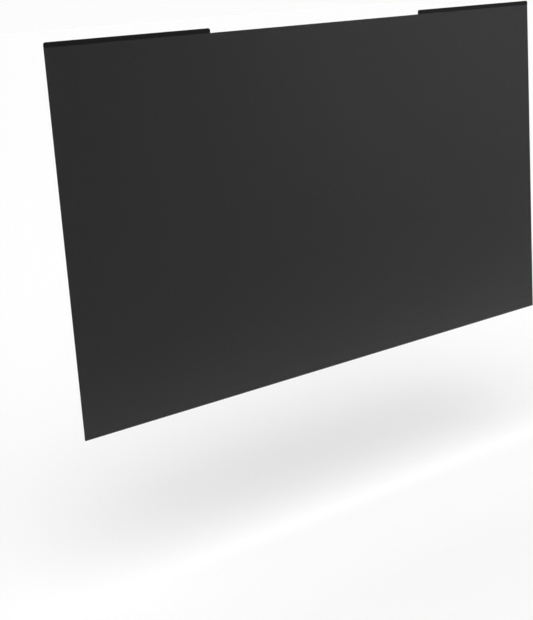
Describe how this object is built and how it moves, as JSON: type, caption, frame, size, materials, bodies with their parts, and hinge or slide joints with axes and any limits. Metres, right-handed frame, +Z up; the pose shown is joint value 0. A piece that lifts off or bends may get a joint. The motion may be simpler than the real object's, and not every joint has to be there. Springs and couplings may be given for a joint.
{
  "type": "monitor privacy filter",
  "caption": "Thin dark louvre film that hangs over a monitor's screen to narrow its viewing angle, with magnet-backed black strips at its top corners.",
  "frame": {"origin": "midway between the two magnets, on the plane of their rear faces, where the filter meets the bezel that it hangs on", "axes": "+X along the width, to the right as seen from the front; +Z up; the front faces -Y and the magnets face +Y"},
  "size_m": [0.5976, 0.0018, 0.3404],
  "materials": {
    "louvre_film": "dark neutral grey film, fine matte front, glossier rear",
    "black_strip": "black satin film, unprinted",
    "bond_tape": "milky double-sided tape",
    "flexible_magnet": "dark brown-black ferrite rubber, matt"
  },
  "bodies": {
    "root": {"filter_sheet": "louvre_film", "left_face_strip": "black_strip", "right_face_strip": "black_strip", "left_bond_tape": "bond_tape", "right_bond_tape": "bond_tape", "left_magnet": "flexible_magnet", "right_magnet": "flexible_magnet"}
  },
  "joints": []
}
